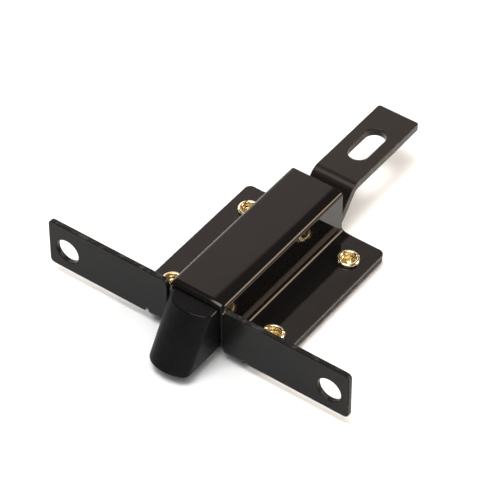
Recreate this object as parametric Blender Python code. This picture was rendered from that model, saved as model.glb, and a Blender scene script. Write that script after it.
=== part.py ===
"""Spring bolt latch with a pull tail: a spring-loaded bolt slides in a pressed steel case.

The case is riveted to a bracket whose front is bent up into a face plate.
Lengths below are in millimetres times MM. Model axes: X across the latch, Y from the bolt's
nose to the tail, Z up from the base. Pieces are modelled from the latch datum, which is the
face plate's front face (Y = 0) and the base plate's top face (Z = 0), and the datum stands in
the world so that the rivet heads rest on Z = 0 and the origin is midway from nose to tail.
"""

import math

import bmesh
import bpy
from mathutils import Matrix, Vector

MM = 0.001

# Bracket: one sheet, the face plate bent up from the base plate.
BRACKET_SHEET = 1.95 * MM
PLATE_LENGTH = 120.0 * MM
PLATE_TOP = 18.75 * MM
PLATE_CORNER = 1.8 * MM
SCREW_HOLE_RADIUS = 4.5 * MM
SCREW_HOLE_X = 52.4 * MM
SCREW_HOLE_Z = 8.4 * MM
BEND_RADIUS = 1.3 * MM
BEND_TAB_X = 19.2 * MM
RELIEF_WIDTH = 1.2 * MM
NOTCH_WIDTH = 22.2 * MM
NOTCH_CORNER = 2.5 * MM
NOTCH_BACK_Y = 5.5 * MM
BASE_WIDTH = 56.3 * MM
BASE_FRONT_Y = 4.6 * MM
BASE_REAR_Y = 67.6 * MM
BASE_CORNER = 2.6 * MM

# Case: a hat section that covers the bolt, with a flange down each side.
CASE_SHEET = 1.4 * MM
CASE_WIDTH = 21.1 * MM
CASE_TOP = 19.2 * MM
CASE_FRONT_Y = 0.6 * MM
CASE_RIDGE_RADIUS = 1.5 * MM
CASE_FOOT_RADIUS = 1.4 * MM
FLANGE_CORNER = 2.2 * MM
FRONT_TAB_FOOT_Z = 0.4 * MM

# Case rivets: semi-tubular, head under the base, mouth rolled over on the flange.
RIVET_X = 20.3 * MM
RIVET_MIDDLE_Y = 36.0 * MM
RIVET_HALF_PITCH_Y = 21.2 * MM
RIVET_SHANK_RADIUS = 2.3 * MM
RIVET_BORE_RADIUS = 1.75 * MM
RIVET_RING_RADIUS = 4.0 * MM
RIVET_RING_HEIGHT = 1.15 * MM
RIVET_HEAD_RADIUS = 4.6 * MM
RIVET_HEAD_HEIGHT = 1.3 * MM
RIVET_HOLE_RADIUS = 2.6 * MM
RIVET_BORE_DEPTH = 2.4 * MM

# Bolt: moulded nose and body. Level sections of the nose end in an arc, and the ramp carries
# that arc back as it rises. The nose leans to the right: its arc is off the middle, its left
# corner is the rounder one, and its left side tapers.
BOLT_WIDTH = 17.9 * MM
BOLT_BOTTOM = 0.2 * MM
BOLT_TOP = 17.4 * MM
NOSE_TIP_Y = -18.6 * MM
NOSE_ARC_X = 1.0 * MM
NOSE_ARC_RADIUS = 14.5 * MM
NOSE_LEFT_RADIUS = 6.5 * MM
NOSE_RIGHT_RADIUS = 2.5 * MM
NOSE_TAPER = 1.2 * MM
NOSE_TAPER_LENGTH = 14.0 * MM
RAMP_SETBACK = 12.8 * MM
BOLT_REAR_Y = 34.0 * MM
BOLT_TOP_EDGE = 1.5 * MM
STEP_Y = 4.0 * MM
STEP_Z = 3.5 * MM
POCKET_RADIUS = 5.5 * MM
POCKET_FLOOR_Y = 19.0 * MM
TRAVEL = 17.5 * MM

# Tail strap: runs under the bolt and out of the case, then steps up to a slotted end.
STRAP_SHEET = 3.0 * MM
STRAP_WIDTH = 16.6 * MM
STRAP_FRONT_Y = 4.3 * MM
STRAP_END_Y = 116.4 * MM
STRAP_LOW_Z = 1.8 * MM
STRAP_HIGH_Z = 11.6 * MM
STRAP_BEND_RADIUS = 4.0 * MM
STRAP_SLOPE = math.radians(50.7)
STRAP_LOW_BEND_Y = 69.9 * MM
STRAP_CORNER = 1.0 * MM
PULL_SLOT_Y = 97.0 * MM
PULL_SLOT_LENGTH = 17.2 * MM
PULL_SLOT_WIDTH = 7.8 * MM

# Stop stud in the base, and the strap's slot that rides on it.
STUD_Y = 50.0 * MM
STUD_RADIUS = 3.0 * MM
STUD_TOP = 3.2 * MM
STUD_TENON_RADIUS = 2.0 * MM
STUD_FOOT_RADIUS = 3.3 * MM
STUD_FOOT_HEIGHT = 0.9 * MM
STUD_HOLE_RADIUS = 2.3 * MM
STOP_SLOT_RADIUS = 3.4 * MM
STOP_CLEARANCE = 0.2 * MM

# Pins that fasten the strap to the bolt.
PIN_Y = (8.0 * MM, 15.2 * MM)
PIN_RADIUS = 1.75 * MM
PIN_HOLE_RADIUS = 2.0 * MM
PIN_HEAD_RADIUS = 2.8 * MM
PIN_HEAD_DEPTH = 1.2 * MM
PIN_TOP = 12.7 * MM

# Return spring, the seat welded under the case's top, and the guide pin staked in the seat.
SPRING_AXIS_Z = 10.45 * MM
SPRING_RADIUS = 4.4 * MM
SPRING_WIRE_RADIUS = 0.6 * MM
SPRING_TURNS = 12
SPRING_CLOSED_TURNS = 1.5
SEAT_FRONT_Y = 61.0 * MM
SEAT_SHEET = 1.8 * MM
SEAT_WIDTH = 16.0 * MM
SEAT_FOOT_Z = 4.0 * MM
SEAT_FORWARD_Y = 53.0 * MM
SEAT_BEND_RADIUS = 1.0 * MM
GUIDE_RADIUS = 2.6 * MM
GUIDE_TIP_Y = 38.0 * MM
GUIDE_TENON_RADIUS = 1.6 * MM
GUIDE_HOLE_RADIUS = 1.9 * MM
GUIDE_STAKE_RADIUS = 2.5 * MM
GUIDE_STAKE_DEPTH = 0.8 * MM

SEAT_GAP = 0.1 * MM
CLEARANCE = 0.3 * MM
FLAT_MARGIN = 0.001 * MM
ARC_STEP = math.radians(15)
ROUND_SEGMENTS = 32

FINISHES = {
    "black_paint": ((0.012, 0.011, 0.010), 0.22, 0.0),
    "brass_plate": ((0.75, 0.52, 0.22), 0.28, 1.0),
    "black_nylon": ((0.014, 0.014, 0.014), 0.5, 0.0),
    "zinc_plate": ((0.55, 0.56, 0.58), 0.35, 1.0),
    "spring_steel": ((0.32, 0.32, 0.33), 0.4, 1.0),
}


# ---- scene helpers ----

def clear_scene():
    for old in list(bpy.data.objects):
        bpy.data.objects.remove(old, do_unlink=True)


def finish_material(name):
    material = bpy.data.materials.get(name)
    if material is None:
        color, roughness, metallic = FINISHES[name]
        material = bpy.data.materials.new(name)
        material.use_nodes = True
        shader = material.node_tree.nodes["Principled BSDF"]
        shader.inputs["Base Color"].default_value = (*color, 1.0)
        shader.inputs["Roughness"].default_value = roughness
        shader.inputs["Metallic"].default_value = metallic
    return material


def add_empty(name, parent=None, location=(0, 0, 0)):
    empty = bpy.data.objects.new(name, None)
    empty.parent = parent
    empty.location = location
    bpy.context.collection.objects.link(empty)
    return empty


def add_object(name, data, parent, finish=None, location=(0, 0, 0)):
    piece = bpy.data.objects.new(name, data)
    piece.parent = parent
    piece.location = location
    if finish:
        piece.data.materials.append(finish_material(finish))
    bpy.context.collection.objects.link(piece)
    return piece


def mesh_from(bm, name, smooth=True):
    bmesh.ops.recalc_face_normals(bm, faces=bm.faces)
    mesh = bpy.data.meshes.new(name)
    bm.to_mesh(mesh)
    bm.free()
    if smooth:
        mesh.shade_smooth()
        mesh.set_sharp_from_angle(angle=math.radians(35))
    return mesh


def cut(piece, cutter):
    """Subtracts cutter from piece with a modifier, and keeps the cutter out of the model."""
    cutter.hide_render = True
    cutter.display_type = "WIRE"
    boolean = piece.modifiers.new("cut_" + cutter.name, "BOOLEAN")
    boolean.operation = "DIFFERENCE"
    boolean.solver = "EXACT"
    boolean.object = cutter


# ---- outlines ----

def arc(centre, radius, start, end, steps=0):
    """Points from angle start to end, both included."""
    steps = steps or max(2, math.ceil(abs(end - start) / ARC_STEP))
    angles = [start + (end - start) * i / steps for i in range(steps + 1)]
    return [Vector(centre) + radius * Vector((math.cos(a), math.sin(a))) for a in angles]


def circle(centre, radius):
    return arc(centre, radius, 0, 2 * math.pi)[:-1]


def rounded(corners):
    """Closed outline through corners, each (x, y, radius), with its corner rounded."""
    outline = []
    for i, (x, y, radius) in enumerate(corners):
        here = Vector((x, y))
        if radius == 0:
            outline.append(here)
            continue
        before = (Vector(corners[i - 1][:2]) - here).normalized()
        after = (Vector(corners[(i + 1) % len(corners)][:2]) - here).normalized()
        half = before.angle(after) / 2
        centre = here + (before + after).normalized() * radius / math.sin(half)
        first = here + before * radius / math.tan(half) - centre
        last = here + after * radius / math.tan(half) - centre
        start = math.atan2(first.y, first.x)
        sweep = first.angle_signed(last)
        outline += arc(centre, radius, start, start - sweep)
    return outline


def mirrored(half):
    """Corners of a shape that is the same on both sides of x = 0, from those on the right."""
    return half + [(-x, y, radius) for x, y, radius in reversed(half)]


def obround(centre_y, length, width):
    radius = width / 2
    reach = length / 2 - radius
    far = arc((0, centre_y + reach), radius, 0, math.pi)
    return far + arc((0, centre_y - reach), radius, math.pi, 2 * math.pi)


# ---- sheet metal ----

def blank(outline, holes, thickness):
    """A flat blank with holes, its datum face at z = 0 and its body below that."""
    bm = bmesh.new()
    for loop in [outline] + holes:
        verts = [bm.verts.new((p.x, p.y, 0)) for p in loop]
        for a, b in zip(verts, verts[1:] + verts[:1]):
            bm.edges.new((a, b))
    bmesh.ops.triangle_fill(bm, edges=bm.edges, use_beauty=True)
    lifted = bmesh.ops.extrude_face_region(bm, geom=bm.faces[:])["geom"]
    moved = [v for v in lifted if isinstance(v, bmesh.types.BMVert)]
    bmesh.ops.translate(bm, verts=moved, vec=(0, 0, -thickness))
    return bm


def section_point(section, distance, offset):
    """A point on a bent section, offset to the left of its direction of travel.

    section is a list of (length, turn): turn 0 is straight, and otherwise the length is an
    arc that turns by that angle. The last stretch runs on as far as it is asked for.
    """
    place = Vector((0, 0))
    heading = 0.0
    left = distance
    for i, (length, turn) in enumerate(section):
        part = left if i == len(section) - 1 else min(left, length)
        if turn:
            radius = length / turn
            end = heading + part / radius
            place += radius * Vector((math.sin(end) - math.sin(heading),
                                      math.cos(heading) - math.cos(end)))
            heading = end
        else:
            place += part * Vector((math.cos(heading), math.sin(heading)))
        left -= part
        if left <= 0:
            break
    return place + offset * Vector((-math.sin(heading), math.cos(heading)))


def score(bm, section, axis):
    """Cuts edges across a blank along axis, where its section bends, so that it can fold."""
    start = 0.0
    for length, turn in section:
        if turn:
            steps = math.ceil(abs(turn) / ARC_STEP)
            for i in range(steps + 1):
                level = start + length * i / steps
                for side in {level, -level} if axis.x else {level}:
                    geometry = bm.verts[:] + bm.edges[:] + bm.faces[:]
                    bmesh.ops.bisect_plane(bm, geom=geometry, dist=FLAT_MARGIN,
                                           plane_co=axis * side, plane_no=axis)
        start += length


def fold(bm, place):
    """Moves each vertex of a blank to place(across, along, offset)."""
    for vert in bm.verts:
        vert.co = Vector(place(*vert.co))


# ---- solids of revolution ----

def turned(profile, segments=ROUND_SEGMENTS):
    """A closed solid turned about Z from (radius, height) points that start and end on it."""
    bm = bmesh.new()
    rings = []
    for radius, height in profile:
        count = segments if radius else 1
        angles = [2 * math.pi * i / segments for i in range(count)]
        rings.append([bm.verts.new((radius * math.cos(a), radius * math.sin(a), height))
                      for a in angles])
    for low, high in zip(rings, rings[1:]):
        for i in range(segments):
            j = (i + 1) % segments
            corners = [low[i % len(low)], low[j % len(low)], high[j % len(high)],
                       high[i % len(high)]]
            bm.faces.new(list(dict.fromkeys(corners)))
    return bm


def along_y(bm):
    """Turns a solid made about Z so that its axis runs along +Y."""
    bmesh.ops.rotate(bm, verts=bm.verts, matrix=Matrix.Rotation(-math.pi / 2, 3, "X"))
    return bm


# ---- bracket ----

def make_bracket(parent):
    base_run = BASE_REAR_Y - BRACKET_SHEET - BEND_RADIUS
    bend = BEND_RADIUS * math.pi / 2
    section = [(base_run, 0), (bend, math.pi / 2), (PLATE_TOP, 0)]
    plate_start = base_run + bend

    def at_y(y):
        return BASE_REAR_Y - y

    def at_z(z):
        return plate_start + z - BEND_RADIUS

    wing_from = (at_y(BASE_FRONT_Y) + at_z(0)) / 2
    wing_x = BEND_TAB_X + RELIEF_WIDTH
    relief = RELIEF_WIDTH / 2 * 0.9
    half = [
        (BASE_WIDTH / 2, 0, BASE_CORNER),
        (BASE_WIDTH / 2, at_y(BASE_FRONT_Y), 1.0 * MM),
        (BEND_TAB_X, at_y(BASE_FRONT_Y), 0),
        (BEND_TAB_X, at_z(BEND_RADIUS), relief),
        (wing_x, at_z(BEND_RADIUS), relief),
        (wing_x, at_z(0), relief),
        (PLATE_LENGTH / 2, at_z(0), PLATE_CORNER),
        (PLATE_LENGTH / 2, at_z(PLATE_TOP), PLATE_CORNER),
        (NOTCH_WIDTH / 2, at_z(PLATE_TOP), NOTCH_CORNER),
        (NOTCH_WIDTH / 2, at_y(NOTCH_BACK_Y), 0),
    ]
    holes = [circle((side * SCREW_HOLE_X, at_z(SCREW_HOLE_Z)), SCREW_HOLE_RADIUS)
             for side in (-1, 1)]
    holes += [circle((x, at_y(y)), RIVET_HOLE_RADIUS) for x, y in rivet_places()]
    holes.append(circle((0, at_y(STUD_Y)), STUD_HOLE_RADIUS))
    bm = blank(rounded(mirrored(half)), holes, BRACKET_SHEET)
    score(bm, section, Vector((0, 1, 0)))

    def place(across, along, offset):
        """The base folds up into the face plate, whose wings stay flat past the reliefs."""
        if abs(across) > BEND_TAB_X + RELIEF_WIDTH / 2 and along > wing_from:
            return across, BRACKET_SHEET + offset, along - at_z(0)
        run, rise = section_point(section, along, offset)
        return across, BASE_REAR_Y - run, rise

    fold(bm, place)
    return add_object("bracket", mesh_from(bm, "bracket"), parent, "black_paint")


# ---- case ----

def rivet_places():
    return [(x, RIVET_MIDDLE_Y + y) for y in (-RIVET_HALF_PITCH_Y, RIVET_HALF_PITCH_Y)
            for x in (-RIVET_X, RIVET_X)]


def make_case(parent):
    top_run = CASE_WIDTH / 2 - CASE_RIDGE_RADIUS
    ridge = CASE_RIDGE_RADIUS * math.pi / 2
    foot = CASE_FOOT_RADIUS * math.pi / 2
    flange_top = SEAT_GAP + CASE_SHEET
    wall = CASE_TOP - CASE_RIDGE_RADIUS - CASE_FOOT_RADIUS - flange_top
    section = [(top_run, 0), (ridge, -math.pi / 2), (wall, 0), (foot, math.pi / 2),
               (BASE_WIDTH, 0)]
    wall_end = top_run + ridge + wall
    flange_start = wall_end + foot

    def at_x(x):
        return flange_start + x - CASE_WIDTH / 2 - CASE_FOOT_RADIUS

    slit_y = BASE_FRONT_Y - CLEARANCE
    tab_end = wall_end + CASE_FOOT_RADIUS + flange_top - FRONT_TAB_FOOT_Z
    half = [
        (tab_end, CASE_FRONT_Y, 0),
        (tab_end, slit_y, 0),
        (wall_end, slit_y, 0),
        (wall_end, BASE_FRONT_Y, 0),
        (at_x(BASE_WIDTH / 2), BASE_FRONT_Y, 1.0 * MM),
        (at_x(BASE_WIDTH / 2), BASE_REAR_Y, FLANGE_CORNER),
    ]
    holes = [circle((math.copysign(at_x(abs(x)), x), y), RIVET_HOLE_RADIUS)
             for x, y in rivet_places()]
    bm = blank(rounded(mirrored(half)), holes, CASE_SHEET)
    score(bm, section, Vector((1, 0, 0)))
    straight = section[:2] + [(BASE_WIDTH, 0)]

    def place(across, along, offset):
        """The flanges fold out at the foot, and the front tabs run on straight down."""
        in_front = along < (slit_y + BASE_FRONT_Y) / 2
        run, drop = section_point(straight if in_front else section, abs(across), offset)
        return math.copysign(run, across), along, CASE_TOP + drop

    fold(bm, place)
    return add_object("case", mesh_from(bm, "case"), parent, "black_paint")


def make_case_rivets(parent):
    """Turned profile: truss head below, shank through both sheets, rolled ring on top."""
    under = -BRACKET_SHEET - SEAT_GAP
    seat = 2 * SEAT_GAP + CASE_SHEET
    ring_middle = (RIVET_BORE_RADIUS + RIVET_RING_RADIUS) / 2
    ring_half = (RIVET_RING_RADIUS - RIVET_BORE_RADIUS) / 2
    roll = [(ring_middle + ring_half * math.cos(a), seat + RIVET_RING_HEIGHT * math.sin(a))
            for a in [math.pi * i / 8 for i in range(9)]]
    head = [(RIVET_HEAD_RADIUS * math.sin(a), under - RIVET_HEAD_HEIGHT * math.cos(a))
            for a in [math.pi / 2 * i / 5 for i in range(6)]]
    profile = head + [(RIVET_SHANK_RADIUS, under), (RIVET_SHANK_RADIUS, seat)] + roll
    profile += [(RIVET_BORE_RADIUS, seat - RIVET_BORE_DEPTH), (0, seat - RIVET_BORE_DEPTH)]
    profile[0] = (0, profile[0][1])
    mesh = mesh_from(turned(profile), "case_rivet")
    mesh.materials.append(finish_material("brass_plate"))
    for i, (x, y) in enumerate(rivet_places()):
        add_object(f"case_rivet_{i + 1}", mesh, parent, location=(x, y, 0))


# ---- bolt ----

def nose_corner(centre_y, side_x, radius):
    """Where a corner of the given radius lies that joins the nose's arc to a straight side."""
    across = side_x - math.copysign(radius, side_x) - NOSE_ARC_X
    reach = math.sqrt((NOSE_ARC_RADIUS - radius) ** 2 - across ** 2)
    return Vector((NOSE_ARC_X + across, centre_y - reach)), math.atan2(-reach, across)


def bolt_section(height, inset):
    """The bolt's level section: an arc in front, joined to its sides by rounded corners.

    The ramp sets the arc back as it rises, and inset rounds off the top's edges.
    """
    half = BOLT_WIDTH / 2 - inset
    setback = RAMP_SETBACK * (height - BOLT_BOTTOM) / (BOLT_TOP - BOLT_BOTTOM) + inset / 3
    centre_y = NOSE_TIP_Y + NOSE_ARC_RADIUS + setback
    corner = nose_corner(centre_y, -half, NOSE_LEFT_RADIUS)[0]
    taper = NOSE_TAPER * min(1, max(0, -corner.y) / NOSE_TAPER_LENGTH)
    left_corner, left = nose_corner(centre_y, taper - half, NOSE_LEFT_RADIUS)
    right_corner, right = nose_corner(centre_y, half, NOSE_RIGHT_RADIUS)
    outline = arc(left_corner, NOSE_LEFT_RADIUS, -math.pi, left, 6)
    outline += arc((NOSE_ARC_X, centre_y), NOSE_ARC_RADIUS, left, right, 10)[1:-1]
    outline += arc(right_corner, NOSE_RIGHT_RADIUS, right, 0, 4)
    taper_end = max(0, left_corner.y) + 0.5 * MM
    outline += [Vector((half, BOLT_REAR_Y)), Vector((-half, BOLT_REAR_Y))]
    outline += [Vector((-half, taper_end))]
    return [(p.x, p.y, height) for p in outline]


def make_bolt(parent):
    """Level sections lofted from the bottom up to the rounded edges of the top."""
    shoulder = BOLT_TOP - BOLT_TOP_EDGE
    levels = [(BOLT_BOTTOM, 0)]
    for i in range(6):
        a = math.pi / 2 * i / 5
        levels.append((shoulder + BOLT_TOP_EDGE * math.sin(a), BOLT_TOP_EDGE * (1 - math.cos(a))))
    bm = bmesh.new()
    rings = [[bm.verts.new(p) for p in bolt_section(*level)] for level in levels]
    for low, high in zip(rings, rings[1:]):
        for i in range(len(low)):
            j = (i + 1) % len(low)
            bm.faces.new((low[i], low[j], high[j], high[i]))
    bm.faces.new(rings[0][::-1])
    bm.faces.new(rings[-1])
    bolt = add_object("bolt", mesh_from(bm, "bolt"), parent, "black_nylon")
    for cutter in bolt_cutters(parent):
        cut(bolt, cutter)
    return bolt


def bolt_cutters(parent):
    """The step for the strap, the spring's pocket and the blind holes for the two pins."""
    step = bmesh.new()
    size = Vector((2 * BOLT_WIDTH, BOLT_REAR_Y, STEP_Z))
    bmesh.ops.create_cube(step, size=1.0, matrix=Matrix.Diagonal((*size, 1.0)))
    middle = (0, STEP_Y + size.y / 2, STEP_Z - size.z / 2)
    cutters = [add_object("step_cutter", mesh_from(step, "step_cutter", False), parent,
                          location=middle)]
    depth = BOLT_REAR_Y - POCKET_FLOOR_Y + 1.0 * MM
    pocket = along_y(turned([(0, 0), (POCKET_RADIUS, 0), (POCKET_RADIUS, depth), (0, depth)]))
    cutters.append(add_object("pocket_cutter", mesh_from(pocket, "pocket_cutter"), parent,
                              location=(0, POCKET_FLOOR_Y, SPRING_AXIS_Z)))
    top = PIN_TOP + CLEARANCE
    for i, y in enumerate(PIN_Y):
        hole = turned([(0, 0), (PIN_HOLE_RADIUS, 0), (PIN_HOLE_RADIUS, top), (0, top)])
        cutters.append(add_object(f"pin_hole_cutter_{i + 1}", mesh_from(hole, "pin_hole"),
                                  parent, location=(0, y, 0)))
    return cutters


# ---- tail strap and its pins ----

def make_tail_strap(parent):
    tangent = STRAP_BEND_RADIUS * math.tan(STRAP_SLOPE / 2)
    bend = STRAP_BEND_RADIUS * STRAP_SLOPE
    ramp = (STRAP_HIGH_Z - STRAP_LOW_Z) / math.sin(STRAP_SLOPE) - 2 * tangent
    low_run = STRAP_LOW_BEND_Y - tangent - STRAP_FRONT_Y
    high_start = low_run + 2 * bend + ramp
    high_y = STRAP_LOW_BEND_Y + tangent
    high_y += (STRAP_HIGH_Z - STRAP_LOW_Z) / math.tan(STRAP_SLOPE)
    section = [(low_run, 0), (bend, STRAP_SLOPE), (ramp, 0), (bend, -STRAP_SLOPE),
               (STRAP_END_Y, 0)]

    def at_low(y):
        return y - STRAP_FRONT_Y

    def at_high(y):
        return high_start + y - high_y

    half = [
        (STRAP_WIDTH / 2, 0, 0),
        (STRAP_WIDTH / 2, at_high(STRAP_END_Y), STRAP_CORNER),
    ]
    stop_rear = STUD_Y + STUD_RADIUS + STOP_CLEARANCE
    stop_front = STUD_Y - TRAVEL - STUD_RADIUS - STOP_CLEARANCE
    stop_slot = obround(at_low((stop_rear + stop_front) / 2), stop_rear - stop_front,
                        2 * STOP_SLOT_RADIUS)
    pull_slot = obround(at_high(PULL_SLOT_Y), PULL_SLOT_LENGTH, PULL_SLOT_WIDTH)
    bm = blank(rounded(mirrored(half)), [stop_slot, pull_slot], STRAP_SHEET)
    score(bm, section, Vector((0, 1, 0)))

    def place(across, along, offset):
        run, rise = section_point(section, along, offset + STRAP_SHEET / 2)
        return across, STRAP_FRONT_Y + run, STRAP_LOW_Z + rise

    fold(bm, place)
    strap = add_object("tail_strap", mesh_from(bm, "tail_strap"), parent, "black_paint")
    under = STRAP_LOW_Z - STRAP_SHEET / 2
    sink = PIN_HEAD_DEPTH + CLEARANCE
    wide = PIN_HEAD_RADIUS + CLEARANCE
    below = under - 1.0 * MM
    above = under + STRAP_SHEET + 1.0 * MM
    profile = [(0, below), (wide, below), (wide, under + CLEARANCE / 2),
               (PIN_HOLE_RADIUS, under + sink), (PIN_HOLE_RADIUS, above), (0, above)]
    for i, y in enumerate(PIN_Y):
        hole = mesh_from(turned(profile), "strap_pin_hole")
        cut(strap, add_object(f"strap_pin_cutter_{i + 1}", hole, parent, location=(0, y, 0)))
    return strap


def make_strap_pins(parent):
    """Countersunk drive pins, flush under the strap and blind in the bolt."""
    under = STRAP_LOW_Z - STRAP_SHEET / 2
    tip = 0.5 * MM
    profile = [(0, under), (PIN_HEAD_RADIUS, under), (PIN_RADIUS, under + PIN_HEAD_DEPTH),
               (PIN_RADIUS, PIN_TOP - tip), (PIN_RADIUS - tip, PIN_TOP), (0, PIN_TOP)]
    mesh = mesh_from(turned(profile, 24), "strap_pin")
    mesh.materials.append(finish_material("zinc_plate"))
    for i, y in enumerate(PIN_Y):
        add_object(f"strap_pin_{i + 1}", mesh, parent, location=(0, y, 0))


def make_stop_stud(parent):
    under = -BRACKET_SHEET - SEAT_GAP
    chamfer = 0.4 * MM
    profile = [(0, under - STUD_FOOT_HEIGHT), (STUD_FOOT_RADIUS - chamfer, under - STUD_FOOT_HEIGHT),
               (STUD_FOOT_RADIUS, under - chamfer), (STUD_FOOT_RADIUS, under),
               (STUD_TENON_RADIUS, under), (STUD_TENON_RADIUS, SEAT_GAP),
               (STUD_RADIUS, SEAT_GAP), (STUD_RADIUS, STUD_TOP - chamfer),
               (STUD_RADIUS - chamfer, STUD_TOP), (0, STUD_TOP)]
    mesh = mesh_from(turned(profile), "stop_stud")
    return add_object("stop_stud", mesh, parent, "zinc_plate", (0, STUD_Y, 0))


# ---- return spring, its seat and its guide ----

def make_spring_seat(parent):
    """An L of sheet: one leg lies under the case's top, the other hangs down behind."""
    underside = CASE_TOP - CASE_SHEET - SEAT_GAP
    outer = SEAT_BEND_RADIUS + SEAT_SHEET
    lie = SEAT_FRONT_Y + SEAT_SHEET - outer - SEAT_FORWARD_Y
    bend = outer * math.pi / 2
    hang = underside - outer - SEAT_FOOT_Z
    section = [(lie, 0), (bend, -math.pi / 2), (hang, 0)]
    length = lie + bend + hang
    half = [(SEAT_WIDTH / 2, 0, 1.0 * MM), (SEAT_WIDTH / 2, length, 1.0 * MM)]
    hole_at = lie + bend + underside - outer - SPRING_AXIS_Z
    bm = blank(rounded(mirrored(half)), [circle((0, hole_at), GUIDE_HOLE_RADIUS)], SEAT_SHEET)
    score(bm, section, Vector((0, 1, 0)))

    def place(across, along, offset):
        run, rise = section_point(section, along, offset)
        return across, SEAT_FORWARD_Y + run, underside + rise

    fold(bm, place)
    return add_object("spring_seat", mesh_from(bm, "spring_seat"), parent, "zinc_plate")


def make_guide_pin(parent):
    """The guide's shoulder bears on the seat, and its tenon is staked behind the seat."""
    length = SEAT_FRONT_Y - GUIDE_TIP_Y - SEAT_GAP
    behind = length + SEAT_SHEET + 2 * SEAT_GAP
    nose = 1.0 * MM
    profile = [(0, 0), (GUIDE_RADIUS - nose, 0), (GUIDE_RADIUS, nose), (GUIDE_RADIUS, length),
               (GUIDE_TENON_RADIUS, length), (GUIDE_TENON_RADIUS, behind),
               (GUIDE_STAKE_RADIUS, behind), (GUIDE_STAKE_RADIUS, behind + GUIDE_STAKE_DEPTH / 2),
               (GUIDE_TENON_RADIUS, behind + GUIDE_STAKE_DEPTH), (0, behind + GUIDE_STAKE_DEPTH)]
    mesh = mesh_from(along_y(turned(profile, 24)), "spring_guide_pin")
    return add_object("spring_guide_pin", mesh, parent, "zinc_plate",
                      (0, GUIDE_TIP_Y, SPRING_AXIS_Z))


def make_return_spring(parent):
    """Round wire on a helix along Y, its end turns closed up."""
    start = POCKET_FLOOR_Y + CLEARANCE + SPRING_WIRE_RADIUS
    end = SEAT_FRONT_Y - CLEARANCE - SPRING_WIRE_RADIUS
    closed_pitch = 2 * SPRING_WIRE_RADIUS + 0.15 * MM
    open_turns = SPRING_TURNS - 2 * SPRING_CLOSED_TURNS
    open_pitch = (end - start - 2 * SPRING_CLOSED_TURNS * closed_pitch) / open_turns
    steps = 14 * SPRING_TURNS
    curve = bpy.data.curves.new("return_spring", "CURVE")
    curve.dimensions = "3D"
    spline = curve.splines.new("POLY")
    spline.points.add(steps)
    for i, point in enumerate(spline.points):
        turn = SPRING_TURNS * i / steps
        closed = min(turn, SPRING_CLOSED_TURNS)
        closed += max(0, turn - SPRING_TURNS + SPRING_CLOSED_TURNS)
        y = start + closed * closed_pitch + (turn - closed) * open_pitch
        angle = 2 * math.pi * turn
        point.co = (SPRING_RADIUS * math.cos(angle), y, SPRING_RADIUS * math.sin(angle), 1)
    curve.bevel_depth = SPRING_WIRE_RADIUS
    curve.bevel_resolution = 1
    curve.use_fill_caps = True
    return add_object("return_spring", curve, parent, "spring_steel", (0, 0, SPRING_AXIS_Z))


def main():
    clear_scene()
    rest_height = BRACKET_SHEET + SEAT_GAP + RIVET_HEAD_HEIGHT
    datum = add_empty("latch_datum", location=(0, -(NOSE_TIP_Y + STRAP_END_Y) / 2, rest_height))
    slide = add_empty("bolt_slide", datum)
    make_bracket(datum)
    make_case(datum)
    make_case_rivets(datum)
    make_stop_stud(datum)
    make_spring_seat(datum)
    make_guide_pin(datum)
    make_return_spring(datum)
    make_bolt(slide)
    make_tail_strap(slide)
    make_strap_pins(slide)


main()
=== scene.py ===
"""Looks of a spring bolt latch: black painted bracket, case and pull tail, brass rivets and a
moulded black bolt.

Pieces are made in millimetres from the latch datum: X across, Y from nose to tail, Z up, with
the face plate's front face at Y = 0 and the base plate's top face at Z = 0. DATUM and MM then
place them in the frame, in metres.
"""

import math

import bmesh
import bpy
import numpy as np
from mathutils import Matrix, Vector


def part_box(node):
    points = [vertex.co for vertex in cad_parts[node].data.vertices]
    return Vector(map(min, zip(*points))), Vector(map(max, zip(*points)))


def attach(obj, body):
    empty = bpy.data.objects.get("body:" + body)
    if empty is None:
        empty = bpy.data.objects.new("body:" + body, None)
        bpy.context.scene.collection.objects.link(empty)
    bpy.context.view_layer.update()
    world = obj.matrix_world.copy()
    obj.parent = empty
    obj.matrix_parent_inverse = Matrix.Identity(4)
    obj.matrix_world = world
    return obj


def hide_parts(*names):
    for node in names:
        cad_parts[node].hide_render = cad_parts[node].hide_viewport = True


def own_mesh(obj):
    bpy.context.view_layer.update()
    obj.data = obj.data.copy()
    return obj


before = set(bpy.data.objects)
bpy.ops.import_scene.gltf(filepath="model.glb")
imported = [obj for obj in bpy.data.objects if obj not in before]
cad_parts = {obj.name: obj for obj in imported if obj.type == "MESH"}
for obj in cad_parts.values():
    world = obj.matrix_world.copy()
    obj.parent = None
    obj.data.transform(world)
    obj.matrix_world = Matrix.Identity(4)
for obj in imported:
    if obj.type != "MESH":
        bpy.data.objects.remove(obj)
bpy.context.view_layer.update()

MM = 0.001
FRAME_BODY = "latch_frame"
SLIDER_BODY = "bolt_slider"


def cad_size(node):
    """A node's lowest and highest corners, in millimetres in the frame."""
    low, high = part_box(node)
    return Vector(low) / MM, Vector(high) / MM


BRACKET_LOW, BRACKET_HIGH = cad_size("bracket")
CASE_LOW, CASE_HIGH = cad_size("case")
BOLT_LOW, BOLT_HIGH = cad_size("bolt")
STRAP_LOW, STRAP_HIGH = cad_size("tail_strap")
RIVET_LOW, RIVET_HIGH = cad_size("case_rivet_1")
GUIDE_LOW, GUIDE_HIGH = cad_size("spring_guide_pin")
STUD_LOW = cad_size("stop_stud")[0]
SPRING_LOW, SPRING_HIGH = cad_size("return_spring")

BRACKET_SHEET = 1.95
BRACKET_EDGE = 0.4
DATUM = Vector((0, BRACKET_LOW.y, BRACKET_LOW.z + BRACKET_SHEET))


def from_datum(point):
    return point - DATUM


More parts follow.
